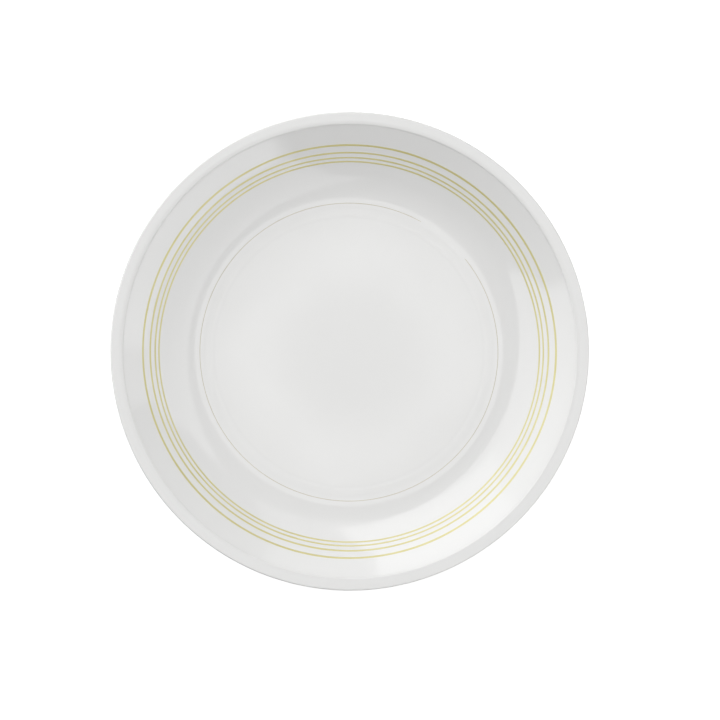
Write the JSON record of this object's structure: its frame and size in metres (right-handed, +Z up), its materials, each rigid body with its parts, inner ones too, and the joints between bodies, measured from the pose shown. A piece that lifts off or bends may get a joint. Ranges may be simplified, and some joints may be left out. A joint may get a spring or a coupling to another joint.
{
  "type": "dinner plate",
  "caption": "Round china dinner plate with a flat well, a raised coved wall, a narrow lip, a foot ring and fine gold banding.",
  "frame": {"origin": "centre of the table plane that the bottom of the foot ring stands on", "axes": "+Z up along the plate's axis of turning, out of its face; X and Y lie in the table plane and are alike"},
  "size_m": [0.27, 0.27, 0.0298],
  "materials": {
    "bisque_porcelain": "fired and unglazed, matt, wiped and rubbed smooth on the foot ring",
    "white_glaze": "clear gloss glaze over white porcelain",
    "pale_gold": "thin pale gold, hand banded and softly burnished"
  },
  "bodies": {
    "root": {"porcelain_body": "bisque_porcelain", "glaze_coat": "white_glaze", "foot_recess_glaze": "white_glaze", "gold_line_outer": "pale_gold", "gold_line_second": "pale_gold", "gold_line_third": "pale_gold", "gold_line_inner": "pale_gold", "well_hairline": "pale_gold"}
  },
  "joints": []
}
